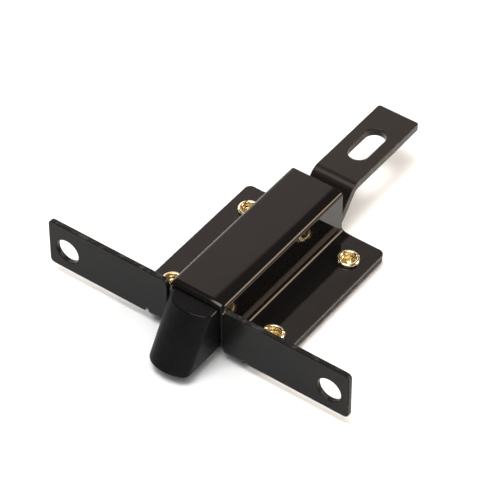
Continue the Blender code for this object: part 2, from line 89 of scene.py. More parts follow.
PLATE_LENGTH = BRACKET_HIGH.x - BRACKET_LOW.x
PLATE_TOP = from_datum(BRACKET_HIGH).z
PLATE_CORNER = 1.8
SCREW_HOLE_RADIUS = 4.5
SCREW_HOLE_X = 52.4
SCREW_HOLE_Z = 8.4
BEND_RADIUS = 1.3
BEND_TAB_X = 19.2
RELIEF_WIDTH = 1.2
NOTCH_WIDTH = 22.2
NOTCH_CORNER = 2.5
NOTCH_BACK_Y = 5.5
BASE_WIDTH = CASE_HIGH.x - CASE_LOW.x
BASE_FRONT_Y = 4.6
BASE_REAR_Y = from_datum(BRACKET_HIGH).y
BASE_CORNER = 2.6

CASE_SHEET = 1.4
CASE_EDGE = 0.3
CASE_WIDTH = 21.1
CASE_TOP = from_datum(CASE_HIGH).z
CASE_FRONT_Y = from_datum(CASE_LOW).y
CASE_RIDGE_RADIUS = 1.5
CASE_FOOT_RADIUS = 1.4
SAG_FROM_X = 6.2
SAG_FRONT_X = 4.6
SAG_SLOPE = math.radians(10)
SAG_REACH = 40
SAG_EASE = 0.6
CURL_TO_X = 14.4
CURL_SLOPE = math.radians(12)
LIP_DEPTH = 2.6
LIP_DROP = 1.75
LIP_INNER_SHARE = 0.18
LIP_BLUNT = 0.05
LIP_FADE = 4
FLANGE_GAP = 0.1
FLANGE_CORNER = 2.2
TAB_FOOT_Z = 0.4
TAB_CLEARANCE = 0.3

RIVET_SHANK_RADIUS = 2.3
RIVET_BORE_RADIUS = 1.75
RIVET_MOUTH_RADIUS = 2.4
RIVET_RING_RADIUS = 4.0
RIVET_RING_HEIGHT = from_datum(RIVET_HIGH).z - 2 * FLANGE_GAP - CASE_SHEET
RIVET_HEAD_RADIUS = (RIVET_HIGH.x - RIVET_LOW.x) / 2
RIVET_HEAD_HEIGHT = 1.3
RIVET_HOLE_RADIUS = 2.6
RIVET_BORE_DEPTH = 2.4
SPLIT_DEPTH = 0.45
SPLIT_WIDTH = 0.07

BOLT_WIDTH = BOLT_HIGH.x - BOLT_LOW.x
BOLT_BOTTOM = from_datum(BOLT_LOW).z
BOLT_TOP = from_datum(BOLT_HIGH).z
NOSE_TIP_Y = from_datum(BOLT_LOW).y
BOLT_REAR_Y = from_datum(BOLT_HIGH).y
NOSE_ARC_X = 1.0
NOSE_ARC_RADIUS = 14.5
NOSE_LEFT_RADIUS = 6.5
NOSE_RIGHT_RADIUS = 2.5
NOSE_TAPER = 1.2
NOSE_TAPER_LENGTH = 14.0
RAMP_SETBACK = 12.8
BOLT_TOP_EDGE = 1.0
RAMP_TOP_EDGE = 0.7
BOLT_BOTTOM_EDGE = 0.4
STEP_Y = 4.0
STEP_Z = 3.5
POCKET_RADIUS = 5.5
POCKET_FLOOR_Y = 19.0

STRAP_SHEET = 3.0
STRAP_EDGE = 0.35
STRAP_WIDTH = STRAP_HIGH.x - STRAP_LOW.x
STRAP_FRONT_Y = from_datum(STRAP_LOW).y
STRAP_END_Y = from_datum(STRAP_HIGH).y
STRAP_LOW_Z = from_datum(STRAP_LOW).z + STRAP_SHEET / 2
STRAP_HIGH_Z = from_datum(STRAP_HIGH).z - STRAP_SHEET / 2
STRAP_BEND_RADIUS = 4.0
STRAP_SLOPE = math.radians(50.7)
STRAP_LOW_BEND_Y = 69.9
STRAP_CORNER = 1.0
PULL_SLOT_Y = 97.0
PULL_SLOT_LENGTH = 17.2
PULL_SLOT_WIDTH = 7.8
STOP_SLOT_FRONT_Y = 29.3
STOP_SLOT_REAR_Y = 53.2
STOP_SLOT_RADIUS = 3.4

SPRING_RADIUS = 4.4
SPRING_WIRE_RADIUS = 0.6
SPRING_TURNS = 12
SPRING_CLOSED_TURNS = 1.5

ARC_STEP = math.radians(6)
EDGE_STEPS = 4
TOUCH = 0.001
TURNED_SHARP_ANGLE = math.radians(38)
BOLT_SHARP_ANGLE = math.radians(30)
WIRE_SHARP_ANGLE = math.radians(50)


# ---- outlines ----

def arc(centre, radius, start, end, steps=0):
    """Points from angle start to end, both included."""
    steps = steps or max(2, math.ceil(abs(end - start) / ARC_STEP))
    angles = [start + (end - start) * i / steps for i in range(steps + 1)]
    return [Vector(centre) + radius * Vector((math.cos(a), math.sin(a))) for a in angles]


def circle(centre, radius):
    return arc(centre, radius, 0, 2 * math.pi)[:-1]


def rounded(corners):
    """Closed outline through corners, each (x, y, radius), with its corner rounded."""
    outline = []
    for i, (x, y, radius) in enumerate(corners):
        here = Vector((x, y))
        before = (Vector(corners[i - 1][:2]) - here).normalized()
        after = (Vector(corners[(i + 1) % len(corners)][:2]) - here).normalized()
        half = before.angle(after) / 2
        centre = here + (before + after).normalized() * radius / math.sin(half)
        first = here + before * radius / math.tan(half) - centre
        last = here + after * radius / math.tan(half) - centre
        start = math.atan2(first.y, first.x)
        sweep = first.angle_signed(last)
        outline += arc(centre, radius, start, start - sweep)
    return outline


def mirrored(half):
    """Corners of a shape that is the same on both sides of x = 0, from those on the right."""
    return half + [(-x, y, radius) for x, y, radius in reversed(half)]


def obround(centre_y, length, width):
    radius = width / 2
    reach = length / 2 - radius
    far = arc((0, centre_y + reach), radius, 0, math.pi)
    return far + arc((0, centre_y - reach), radius, math.pi, 2 * math.pi)


# ---- sheet metal with rounded edges ----

def mitres(loop):
    """Each point's outward direction and how far an inset of 1 moves it along that."""
    result = []
    for i, here in enumerate(loop):
        back = (here - loop[i - 1]).normalized()
        on = (loop[(i + 1) % len(loop)] - here).normalized()
        first = Vector((back.y, -back.x))
        second = Vector((on.y, -on.x))
        outward = (first + second).normalized()
        result.append((outward, 1 / max(0.4, outward.dot(first))))
    return result


def blank(outline, holes, thickness, edge):
    """A flat blank with its top at z = 0, whose edges are rounded over by edge."""
    bm = bmesh.new()
    soft = bm.verts.layers.float_vector.new("soft")
    rim = bm.verts.layers.float.new("rim")
    angles = [math.pi / 2 * i / EDGE_STEPS for i in range(EDGE_STEPS + 1)]
    steps = [(a, -edge * (1 - math.cos(a)), math.cos(a)) for a in angles]
    steps += [(a, edge * (1 - math.cos(a)) - thickness, -math.cos(a)) for a in reversed(angles)]
    caps = ([], [])
    for loop in [outline] + [hole[::-1] for hole in holes]:
        frames = mitres(loop)
        rings = []
        for angle, height, lean in steps:
            inset = edge * (1 - math.sin(angle))
            ring = []
            for point, (outward, stretch) in zip(loop, frames):
                place = point - outward * inset * stretch
                vert = bm.verts.new((place.x, place.y, height))
                side = outward * math.sin(angle)
                vert[soft] = (side.x, side.y, lean)
                vert[rim] = math.sin(angle)
                ring.append(vert)
            rings.append(ring)
        count = len(loop)
        for high, low in zip(rings, rings[1:]):
            for i in range(count):
                j = (i + 1) % count
                bm.faces.new((low[i], low[j], high[j], high[i]))
        for cap, ring in zip(caps, (rings[0], rings[-1])):
            cap += [bm.edges.get((ring[i - 1], ring[i])) for i in range(count)]
    for cap in caps:
        bmesh.ops.triangle_fill(bm, edges=cap, use_beauty=True)
    return bm


def score(bm, levels, axis):
    """Cuts edges across a blank at each level along axis, on both sides of zero for x."""
    normal = Vector(axis)
    for level in levels:
        for side in sorted({level, -level}) if normal.x else [level]:
            geometry = bm.verts[:] + bm.edges[:] + bm.faces[:]
            bmesh.ops.bisect_plane(bm, geom=geometry, dist=TOUCH, plane_co=normal * side,
                                   plane_no=normal)


def even_levels(first, last, count):
    return [first + (last - first) * i / (count - 1) for i in range(count)]


def bend_levels(section):
    levels = []
    start = 0.0
    for length, turn in section:
        if turn:
            steps = math.ceil(abs(turn) / ARC_STEP)
            levels += [start + length * i / steps for i in range(steps + 1)]
        start += length
    return levels


def section_point(section, distance, offset):
    """A point on a bent section, offset to the left of its direction of travel.

    section is a list of (length, turn): turn 0 is straight, and otherwise the length is an
    arc that turns by that angle. The last stretch runs on as far as it is asked for.
    """
    x = y = heading = 0.0
    left = distance
    for i, (length, turn) in enumerate(section):
        part = left if i == len(section) - 1 else min(left, length)
        if turn:
            radius = length / turn
            end = heading + part / radius
            x += radius * (math.sin(end) - math.sin(heading))
            y += radius * (math.cos(heading) - math.cos(end))
            heading = end
        else:
            x += part * math.cos(heading)
            y += part * math.sin(heading)
        left -= part
        if left <= 0:
            break
    return x - offset * math.sin(heading), y + offset * math.cos(heading)


def fold(bm, place):
    """Moves each vertex of a blank to place(across, along, offset), and its normal with it."""
    soft = bm.verts.layers.float_vector["soft"]
    nudge = 1e-4
    for vert in bm.verts:
        flat = np.array(vert.co, float)
        slopes = [np.subtract(place(*(flat + shift)), place(*(flat - shift)))
                  for shift in np.eye(3) * nudge]
        normal = np.linalg.solve(np.array(slopes) / nudge, np.array(vert[soft], float))
        vert[soft] = normal / np.linalg.norm(normal)
        vert.co = place(*flat)


def sheet_object(bm, name):
    """A piece from a folded blank, shaded by the normals that its blank carried."""
    bmesh.ops.recalc_face_normals(bm, faces=bm.faces)
    soft = bm.verts.layers.float_vector["soft"]
    normals = [Vector(vert[soft]) for vert in bm.verts]
    piece = mesh_object(bm, name)
    piece.data.normals_split_custom_set_from_vertices(normals)
    return piece


def mesh_object(bm, name):
    mesh = bpy.data.meshes.new(name)
    bm.to_mesh(mesh)
    bm.free()
    mesh.transform(Matrix.Scale(MM, 4) @ Matrix.Translation(DATUM))
    mesh.shade_smooth()
    piece = bpy.data.objects.new(name, mesh)
    bpy.context.collection.objects.link(piece)
    return piece


def add_piece(piece, material, body, node):
    """Gives a finished piece its material and its body, and hides the CAD node that it stands for.
    """
    piece.data.materials.clear()
    piece.data.materials.append(material)
    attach(piece, body)
    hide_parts(node)
    return piece


# ---- solids of revolution ----

def turned(profile, segments=72, shape=None):
    """A closed solid turned about Z from (radius, height) points that start and end on it.

    shape(radius, angle, height) may move a point, and returns its radius and height.
    """
    bm = bmesh.new()
    rings = []
    for radius, height in profile:
        ring = []
        for i in range(segments if radius else 1):
            a = 2 * math.pi * i / segments
            r, h = shape(radius, a, height) if shape else (radius, height)
            ring.append(bm.verts.new((r * math.cos(a), r * math.sin(a), h)))
        rings.append(ring)
    for low, high in zip(rings, rings[1:]):
        for i in range(segments):
            j = (i + 1) % segments
            corners = [low[i % len(low)], low[j % len(low)], high[j % len(high)],
                       high[i % len(high)]]
            bm.faces.new(list(dict.fromkeys(corners)))
    bmesh.ops.recalc_face_normals(bm, faces=bm.faces)
    return bm


def round_object(bm, name, centre, along_y=False):
    if along_y:
        bmesh.ops.rotate(bm, verts=bm.verts, matrix=Matrix.Rotation(-math.pi / 2, 3, "X"))
    bmesh.ops.translate(bm, verts=bm.verts, vec=centre)
    piece = mesh_object(bm, name)
    piece.data.set_sharp_from_angle(angle=TURNED_SHARP_ANGLE)
    return piece


# ---- materials ----

COATING_IOR = 1.42


class Shader:
    """A Principled material with short helpers for its procedural inputs."""

    def __init__(self, name, **values):
        self.material = bpy.data.materials.new(name)
        self.material.use_nodes = True
        self.nodes = self.material.node_tree.nodes
        self.links = self.material.node_tree.links
        self.surface = self.nodes["Principled BSDF"]
        for key, value in values.items():
            self.surface.inputs[key.replace("_", " ")].default_value = value
        self.place = self.nodes.new("ShaderNodeTexCoord").outputs["Object"]

    def height(self):
        node = self.nodes.new("ShaderNodeSeparateXYZ")
        self.links.new(self.place, node.inputs["Vector"])
        return node.outputs["Z"]

    def noise(self, scale, detail=3.0, roughness=0.5, stretch=None):
        vector = self.place
        if stretch:
            mapping = self.nodes.new("ShaderNodeMapping")
            mapping.inputs["Scale"].default_value = stretch
            self.links.new(vector, mapping.inputs["Vector"])
            vector = mapping.outputs["Vector"]
        node = self.nodes.new("ShaderNodeTexNoise")
        node.inputs["Scale"].default_value = scale
        node.inputs["Detail"].default_value = detail
        node.inputs["Roughness"].default_value = roughness
        self.links.new(vector, node.inputs["Vector"])
        return node.outputs["Fac"]

    def attribute(self, name):
        node = self.nodes.new("ShaderNodeAttribute")
        node.attribute_name = name
        return node.outputs["Fac"]

    def spread(self, value, low, high, to_low, to_high):
        node = self.nodes.new("ShaderNodeMapRange")
        node.interpolation_type = "SMOOTHSTEP"
        for key, number in (("From Min", low), ("From Max", high), ("To Min", to_low),
                            ("To Max", to_high)):
            node.inputs[key].default_value = number
        self.links.new(value, node.inputs["Value"])
        return node.outputs["Result"]

    def math(self, operation, first, second):
        node = self.nodes.new("ShaderNodeMath")
        node.operation = operation
        for socket, value in zip(node.inputs, (first, second)):
            if isinstance(value, (int, float)):
                socket.default_value = value
            else:
                self.links.new(value, socket)
        return node.outputs["Value"]

    def mix(self, factor, first, second):
        """Mixes two colours, each an (r, g, b) or a socket, by a factor socket."""
        node = self.nodes.new("ShaderNodeMix")
        node.data_type = "RGBA"
        self.links.new(factor, node.inputs["Factor"])
        for socket, value in ((node.inputs[6], first), (node.inputs[7], second)):
            if isinstance(value, tuple):
                socket.default_value = (*value, 1)
            else:
                self.links.new(value, socket)
        return node.outputs[2]

    def colour(self, socket):
        self.links.new(socket, self.surface.inputs["Base Color"])

    def roughness(self, socket):
        self.links.new(socket, self.surface.inputs["Roughness"])

    def bump(self, *layers):
        """Chains bump layers, each (height socket, distance in metres)."""
        normal = None
        for height, distance in layers:
            node = self.nodes.new("ShaderNodeBump")
            node.inputs["Distance"].default_value = distance
            self.links.new(height, node.inputs["Height"])
            if normal:
                self.links.new(normal, node.inputs["Normal"])
            normal = node.outputs["Normal"]
        self.links.new(normal, self.surface.inputs["Normal"])


def paint(name, body, worn, gloss, rim_gloss, level, tint, ripple):
    """Black paint on steel: even, with faint ripple, dust and thin cover along the edges."""
    shader = Shader(name, IOR=COATING_IOR, Specular_IOR_Level=level, Specular_Tint=(*tint, 1))
    cloud = shader.noise(60, 4)
    dust = shader.spread(shader.noise(2600, 2), 0.66, 0.78, 0, 1)
    rim = shader.attribute("rim")
    thin = shader.math("MULTIPLY", rim, shader.spread(shader.noise(420, 5, 0.7), 0.5, 0.62, 0, 1))
    tone = shader.mix(cloud, body, tuple(c * 1.5 for c in body))
    tone = shader.mix(shader.math("MULTIPLY", dust, 0.1), tone, (0.05, 0.045, 0.04))
    shader.colour(shader.mix(shader.math("MULTIPLY", thin, 0.5), tone, worn))
    base = shader.spread(cloud, 0.3, 0.7, gloss * 0.85, gloss * 1.15)
    base = shader.math("ADD", base, shader.math("MULTIPLY", rim, rim_gloss - gloss))
    shader.roughness(shader.math("ADD", base, shader.math("MULTIPLY", dust, 0.03)))
    shader.bump((shader.noise(70, 2), ripple))
    return shader.material


def metal(name, bright, dull, gloss, scale=500.0, depth=0.00002):
    shader = Shader(name, Metallic=1.0)
    cloud = shader.noise(scale, 4, 0.6)
    shader.colour(shader.mix(shader.spread(cloud, 0.38, 0.66, 0, 1), bright, dull))
    shader.roughness(shader.spread(cloud, 0.3, 0.7, gloss * 0.8, gloss * 1.5))
    shader.bump((shader.noise(scale * 2, 3), depth))
    return shader.material


def nylon():
    """Moulded black plastic with a spark texture, dull on top and rubbed smooth along the edge."""
    shader = Shader("bolt_nylon_look", IOR=COATING_IOR)
    cloud = shader.noise(150, 3)
    fleck = shader.spread(shader.noise(3200, 2, 0.6), 0.60, 0.74, 0, 1)
    tone = shader.mix(cloud, (0.0042, 0.0040, 0.0041), (0.0062, 0.0059, 0.0060))
    shader.colour(shader.mix(shader.math("MULTIPLY", fleck, 0.6), tone, (0.04, 0.04, 0.042)))
    top = (DATUM.z + BOLT_TOP) * MM
    edge = shader.spread(shader.height(), top - 0.5 * MM, top - 0.3 * MM, 0, 1)
    flat = shader.spread(shader.height(), top - 0.05 * MM, top - 0.01 * MM, 0, 1)
    rough = shader.math("SUBTRACT", shader.spread(cloud, 0.3, 0.7, 0.36, 0.44),
                        shader.math("MULTIPLY", edge, 0.22))
    shader.roughness(shader.math("ADD", rough, shader.math("MULTIPLY", flat, 0.4)))
    level = shader.math("SUBTRACT", 0.17, shader.math("MULTIPLY", flat, 0.11))
    shader.links.new(level, shader.surface.inputs["Specular IOR Level"])
    grain = shader.math("MULTIPLY", shader.noise(2200, 3, 0.6), shader.math("SUBTRACT", 1, edge))
    shader.bump((grain, 0.00009), (shader.noise(500, 2), 0.00005))
    return shader.material


PAINT_TINT = (1.0, 0.87, 0.80)
MATERIALS = {
    "bracket_paint": paint("bracket_paint_look", (0.0065, 0.0064, 0.0062), (0.07, 0.065, 0.06),
                           0.20, 0.34, 0.16, (1.0, 0.97, 0.95), 0.00005),
    "case_paint": paint("case_paint_look", (0.0045, 0.0040, 0.0037), (0.06, 0.052, 0.045),
                        0.07, 0.25, 0.36, PAINT_TINT, 0.00005),
    "strap_paint": paint("strap_paint_look", (0.0085, 0.0065, 0.0058), (0.09, 0.07, 0.06),
                         0.22, 0.32, 0.4, PAINT_TINT, 0.00005),
    "rivet_brass": metal("rivet_brass_look", (0.95, 0.82, 0.55), (0.88, 0.70, 0.42), 0.2,
                         260, 0.000004),
    "bolt_nylon": nylon(),
    "pin_zinc": metal("pin_zinc_look", (0.62, 0.63, 0.65), (0.45, 0.46, 0.47), 0.3),
    "seat_zinc": metal("seat_zinc_look", (0.56, 0.57, 0.58), (0.4, 0.41, 0.43), 0.34),
    "spring_steel": metal("spring_steel_look", (0.42, 0.42, 0.43), (0.25, 0.25, 0.26), 0.3),
}


# ---- bracket ----

def rivet_places():
    """Each case rivet's node and centre, from its CAD box."""
    places = {}
    for i in range(1, 5):
        low, high = cad_size(f"case_rivet_{i}")
        places[f"case_rivet_{i}"] = from_datum((low + high) / 2)
    return places


def make_bracket():
    base_run = BASE_REAR_Y - BRACKET_SHEET - BEND_RADIUS
    bend = BEND_RADIUS * math.pi / 2
    section = [(base_run, 0), (bend, math.pi / 2), (PLATE_TOP, 0)]
    plate_start = base_run + bend

    def at_y(y):
        return BASE_REAR_Y - y

    def at_z(z):
        return plate_start + z - BEND_RADIUS

    wing_from = (at_y(BASE_FRONT_Y) + at_z(0)) / 2
    wing_x = BEND_TAB_X + RELIEF_WIDTH
    relief = RELIEF_WIDTH / 2 * 0.9
    half = [
        (BASE_WIDTH / 2, 0, BASE_CORNER),
        (BASE_WIDTH / 2, at_y(BASE_FRONT_Y), 1.0),
        (BEND_TAB_X, at_y(BASE_FRONT_Y), 0.5),
        (BEND_TAB_X, at_z(BEND_RADIUS), relief),
        (wing_x, at_z(BEND_RADIUS), relief),
        (wing_x, at_z(0), relief),
        (PLATE_LENGTH / 2, at_z(0), PLATE_CORNER),
        (PLATE_LENGTH / 2, at_z(PLATE_TOP), PLATE_CORNER),
        (NOTCH_WIDTH / 2, at_z(PLATE_TOP), NOTCH_CORNER),
        (NOTCH_WIDTH / 2, at_y(NOTCH_BACK_Y), 0.6),
    ]
    holes = [circle((side * SCREW_HOLE_X, at_z(SCREW_HOLE_Z)), SCREW_HOLE_RADIUS)
             for side in (-1, 1)]
    holes += [circle((p.x, at_y(p.y)), RIVET_HOLE_RADIUS) for p in rivet_places().values()]
    bm = blank(rounded(mirrored(half)), holes, BRACKET_SHEET, BRACKET_EDGE)
    score(bm, bend_levels(section), (0, 1, 0))

    def place(across, along, offset):
        """The base folds up into the face plate, whose wings stay flat past the reliefs."""
        if abs(across) > BEND_TAB_X + RELIEF_WIDTH / 2 and along > wing_from:
            return across, BRACKET_SHEET + offset, along - at_z(0)
        run, rise = section_point(section, along, offset)
        return across, BASE_REAR_Y - run, rise

    fold(bm, place)
    piece = sheet_object(bm, "bracket_skin")
    add_piece(piece, MATERIALS["bracket_paint"], FRAME_BODY, "bracket")


# ---- case ----

def slope_sum(x, start, peak, end, slope):
    """Height gained from start to x where the slope rises evenly to peak and fades by end."""
    steps = 24
    total = 0.0
    for i in range(steps):
        at = start + (min(x, end) - start) * (i + 0.5) / steps
        rising = (at - start) / (peak - start)
        fading = (end - at) / (end - peak)
        total += max(0, min(rising, fading, 1)) * max(0, min(x, end) - start) / steps
    return total * math.tan(slope)


def sag(x, y):
    """How far the top has sunk towards its right ridge, from further in at the front."""
    share = min(1, max(0, (y - CASE_FRONT_Y) / SAG_REACH)) ** SAG_EASE
    start = SAG_FRONT_X + (SAG_FROM_X - SAG_FRONT_X) * share
    return slope_sum(x, start, CASE_WIDTH / 2 - CASE_RIDGE_RADIUS, CASE_WIDTH / 2, SAG_SLOPE)


def curl(x):
    """How far the right flange rises towards the foot of the wall."""
    foot_end = CASE_WIDTH / 2 + CASE_FOOT_RADIUS
    away = CURL_TO_X + CASE_WIDTH / 2 - x
    return slope_sum(away, CASE_WIDTH / 2, CURL_TO_X + CASE_WIDTH / 2 - foot_end, CURL_TO_X,
                     CURL_SLOPE)


def lip(y):
    """How far the outer face has come down where the case's front edge is rounded over."""
    near = max(0, (CASE_FRONT_Y + LIP_DEPTH - y) / LIP_DEPTH)
    return LIP_DROP * (1 - math.sqrt(max(LIP_BLUNT, 1 - min(1, near) ** 2)))


def make_case():
    top_run = CASE_WIDTH / 2 - CASE_RIDGE_RADIUS
    ridge = CASE_RIDGE_RADIUS * math.pi / 2
    foot = CASE_FOOT_RADIUS * math.pi / 2
    flange_top = FLANGE_GAP + CASE_SHEET
    wall = CASE_TOP - CASE_RIDGE_RADIUS - CASE_FOOT_RADIUS - flange_top
    section = [(top_run, 0), (ridge, -math.pi / 2), (wall, 0), (foot, math.pi / 2),
               (BASE_WIDTH, 0)]
    wall_end = top_run + ridge + wall
    flange_start = wall_end + foot

    def at_x(x):
        return flange_start + x - CASE_WIDTH / 2 - CASE_FOOT_RADIUS

    slit_y = BASE_FRONT_Y - TAB_CLEARANCE
    tab_end = wall_end + CASE_FOOT_RADIUS + flange_top - TAB_FOOT_Z
    half = [
        (tab_end, CASE_FRONT_Y, 0.5),
        (tab_end, slit_y, 0.1),
        (wall_end, slit_y, 0.1),
        (wall_end, BASE_FRONT_Y, 0.1),
        (at_x(BASE_WIDTH / 2), BASE_FRONT_Y, 1.0),
        (at_x(BASE_WIDTH / 2), BASE_REAR_Y, FLANGE_CORNER),
    ]
    holes = [circle((math.copysign(at_x(abs(p.x)), p.x), p.y), RIVET_HOLE_RADIUS)
             for p in rivet_places().values()]
    bm = blank(rounded(mirrored(half)), holes, CASE_SHEET, CASE_EDGE)
    score(bm, bend_levels(section), (1, 0, 0))
    score(bm, even_levels(SAG_FRONT_X, top_run, 9), (1, 0, 0))
    score(bm, even_levels(wall_end + foot, at_x(CURL_TO_X), 6), (1, 0, 0))
    score(bm, even_levels(CASE_FRONT_Y + 0.3, CASE_FRONT_Y + LIP_DEPTH, 8), (0, 1, 0))
    score(bm, even_levels(6, BASE_REAR_Y - 4, 9), (0, 1, 0))
    straight = section[:2] + [(BASE_WIDTH, 0)]

    def place(across, along, offset):
        """The flanges fold out at the foot, and the front tabs run on straight down."""
        in_front = along < (slit_y + BASE_FRONT_Y) / 2
        run, drop = section_point(straight if in_front else section, abs(across), offset)
        height = CASE_TOP + drop
        share = min(1, max(0, (height - flange_top) / (CASE_TOP - flange_top)))
        if across > 0:
            height -= share * sag(run, along)
            height += (1 - share) * curl(run)
        outer = LIP_INNER_SHARE + (1 - LIP_INNER_SHARE) * (1 + offset / CASE_SHEET)
        height -= lip(along) * outer * share ** LIP_FADE
        return math.copysign(run, across), along, height

    fold(bm, place)
    piece = sheet_object(bm, "case_skin")
    add_piece(piece, MATERIALS["case_paint"], FRAME_BODY, "case")


def make_rivets():
    """Head under the base, shank, rolled ring with a split or two, and the funnel-shaped bore."""
    under = -BRACKET_SHEET - FLANGE_GAP
    seat = 2 * FLANGE_GAP + CASE_SHEET
    middle = (RIVET_MOUTH_RADIUS + RIVET_RING_RADIUS) / 2
    half = (RIVET_RING_RADIUS - RIVET_MOUTH_RADIUS) / 2
    head = [(RIVET_HEAD_RADIUS * math.sin(a), under - RIVET_HEAD_HEIGHT * math.cos(a))
            for a in [math.pi / 2 * i / 10 for i in range(11)]]
    head[0] = (0, head[0][1])
    roll = [(middle + half * math.copysign(abs(math.cos(a)) ** 0.8, math.cos(a)),
             seat + RIVET_RING_HEIGHT * math.sin(a) ** 0.8)
            for a in [math.pi * i / 18 for i in range(19)]]
    funnel = [(RIVET_MOUTH_RADIUS - 0.25, seat - 0.25), (RIVET_BORE_RADIUS + 0.08, seat - 0.7),
              (RIVET_BORE_RADIUS, seat - 1.1)]
    floor = [(RIVET_BORE_RADIUS, seat - RIVET_BORE_DEPTH + 0.5),
             (RIVET_BORE_RADIUS - 0.15, seat - RIVET_BORE_DEPTH + 0.15),
             (RIVET_BORE_RADIUS - 0.5, seat - RIVET_BORE_DEPTH),
             (0, seat - RIVET_BORE_DEPTH + 0.1)]
    shank = [(RIVET_SHANK_RADIUS, under), (RIVET_SHANK_RADIUS, seat)]
    profile = head + shank + roll + funnel + floor
    for i, (node, centre) in enumerate(rivet_places().items()):
        splits = [1.9 * i + 4.9, 1.9 * i + 1.4]

        def shape(radius, angle, height):
            """Splits nick the ring."""
            if height <= seat:
                return radius, height
            for split in splits:
                away = math.remainder(angle - split, 2 * math.pi)
                height -= SPLIT_DEPTH * (height - seat) * math.exp(-(away / SPLIT_WIDTH) ** 2)
            return radius, height

        piece = round_object(turned(profile, 96, shape), node + "_skin", (centre.x, centre.y, 0))
        add_piece(piece, MATERIALS["rivet_brass"], FRAME_BODY, node)


# ---- bolt ----

def nose_corner(centre_y, side_x, radius):
    """Where a corner of the given radius lies that joins the nose's arc to a straight side."""
    across = side_x - math.copysign(radius, side_x) - NOSE_ARC_X
    reach = math.sqrt((NOSE_ARC_RADIUS - radius) ** 2 - across ** 2)
    return Vector((NOSE_ARC_X + across, centre_y - reach)), math.atan2(-reach, across)


def bolt_section(height, inset, front_inset):
    """The bolt's level section: an arc in front, joined to its sides by rounded corners.

    The ramp sets the arc back as it rises. inset rounds off the side edges of the top and the
    bottom, and front_inset does it along the arc.
    """
    half = BOLT_WIDTH / 2 - inset
    setback = RAMP_SETBACK * (height - BOLT_BOTTOM) / (BOLT_TOP - BOLT_BOTTOM) + front_inset
    centre_y = NOSE_TIP_Y + NOSE_ARC_RADIUS + setback
    corner = nose_corner(centre_y, -half, NOSE_LEFT_RADIUS)[0]
    taper = NOSE_TAPER * min(1, max(0, -corner.y) / NOSE_TAPER_LENGTH)
    left_corner, left = nose_corner(centre_y, taper - half, NOSE_LEFT_RADIUS)
    right_corner, right = nose_corner(centre_y, half, NOSE_RIGHT_RADIUS)
    outline = arc(left_corner, NOSE_LEFT_RADIUS, -math.pi, left, 16)
    outline += arc((NOSE_ARC_X, centre_y), NOSE_ARC_RADIUS, left, right, 30)[1:-1]
    outline += arc(right_corner, NOSE_RIGHT_RADIUS, right, 0, 12)
    taper_end = max(0, left_corner.y) + 0.5
    outline += [Vector((half, BOLT_REAR_Y)), Vector((-half, BOLT_REAR_Y))]
    outline += [Vector((-half, taper_end))]
    return [(p.x, p.y, height) for p in outline]


def bolt_levels():
    """Each level's height and its two insets."""
    foot = BOLT_BOTTOM + BOLT_BOTTOM_EDGE
    levels = []
    for i in range(9):
        a = math.pi / 2 * i / 8
        inset = BOLT_BOTTOM_EDGE * (1 - math.sin(a))
        levels.append((foot - BOLT_BOTTOM_EDGE * math.cos(a), inset, inset))
    shoulder = BOLT_TOP - BOLT_TOP_EDGE
    levels += [(z, 0, 0) for z in even_levels(foot, shoulder, 9)[1:-1]]
    for i in range(17):
        a = math.pi / 2 * i / 16
        height = shoulder + BOLT_TOP_EDGE * math.sin(a)
        levels.append((height, BOLT_TOP_EDGE * (1 - math.cos(a)), ramp_edge(height)))
    return levels


def ramp_edge(height):
    """How far the ramp's rounded top edge lies behind the ramp, at a height."""
    slope = math.atan2(BOLT_TOP - BOLT_BOTTOM, RAMP_SETBACK)
    tangent = RAMP_TOP_EDGE * math.tan(slope / 2)
    start = BOLT_TOP - tangent * math.sin(slope)
    if height <= start:
        return 0.0
    up = RAMP_TOP_EDGE - (BOLT_TOP - height)
    out = math.sqrt(max(0, RAMP_TOP_EDGE ** 2 - up ** 2))
    return tangent - out + (BOLT_TOP - height) / math.tan(slope)


def cut_away(piece, cutters):
    """Subtracts the cutters from a piece for good, and removes them."""
    for cutter in cutters:
        boolean = piece.modifiers.new(cutter.name, "BOOLEAN")
        boolean.solver = "EXACT"
        boolean.object = cutter
    bpy.context.view_layer.update()
    seen = piece.evaluated_get(bpy.context.evaluated_depsgraph_get())
    cut_mesh = bpy.data.meshes.new_from_object(seen)
    piece.modifiers.clear()
    piece.data = cut_mesh
    for cutter in cutters:
        bpy.data.objects.remove(cutter, do_unlink=True)


